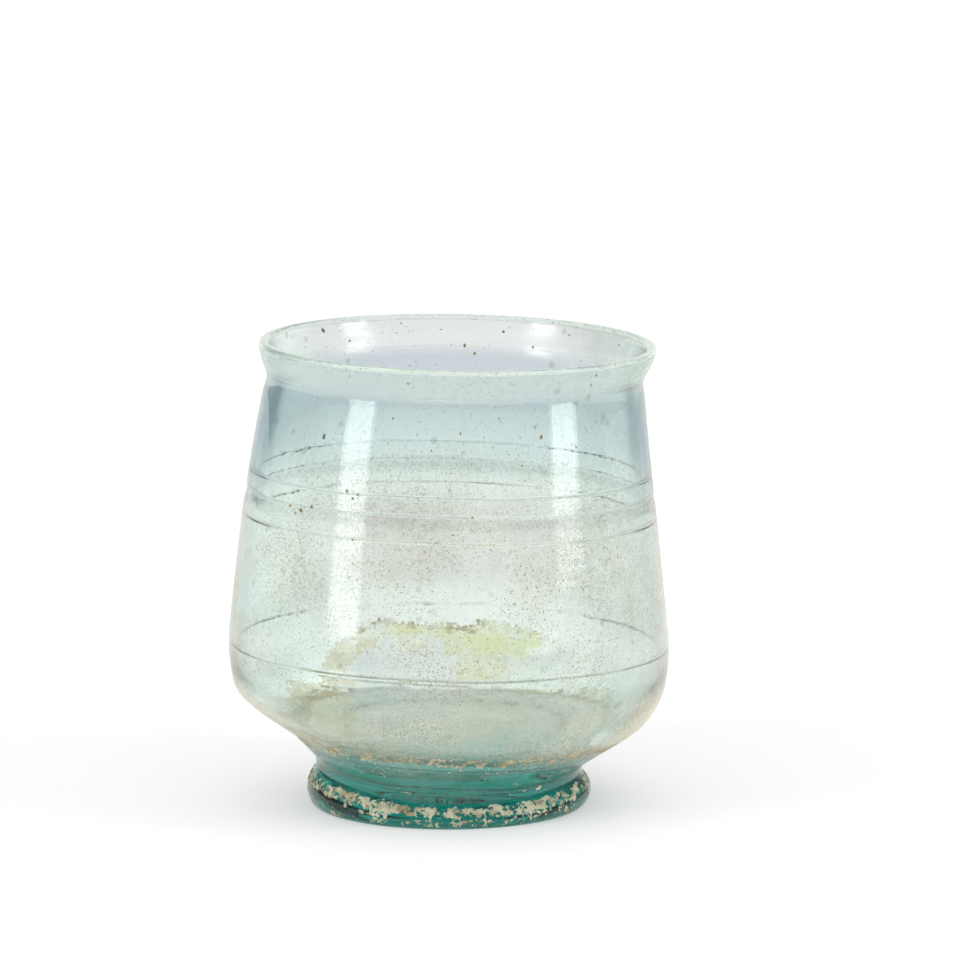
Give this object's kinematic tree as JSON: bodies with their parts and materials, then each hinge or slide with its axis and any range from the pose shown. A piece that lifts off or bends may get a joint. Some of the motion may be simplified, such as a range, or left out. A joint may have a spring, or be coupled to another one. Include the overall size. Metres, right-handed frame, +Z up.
{
  "type": "glass beaker",
  "caption": "Free-blown blue-green glass beaker with an everted rim, wheel-cut lines, a low rounded belly and an applied foot ring, with soil crust and weathering film.",
  "frame": {"origin": "centre of the resting plane under the foot ring", "axes": "+Z up through the mouth, -Y towards the pictured side, +X to its right"},
  "size_m": [0.0896, 0.0896, 0.0957],
  "materials": {
    "glass": "clear pale blue-green glass, lightly pitted and weathered",
    "dark_glass": "thick teal glass, pitted",
    "soil_crust": "matt sandy soil crust",
    "sediment": "matt pale sediment",
    "film": "flaking, faintly iridescent weathering film"
  },
  "bodies": {
    "root": {"vessel_body": "glass", "foot_ring": "dark_glass", "foot_crust": "soil_crust", "floor_film": "film", "floor_crust": "sediment"}
  },
  "joints": []
}
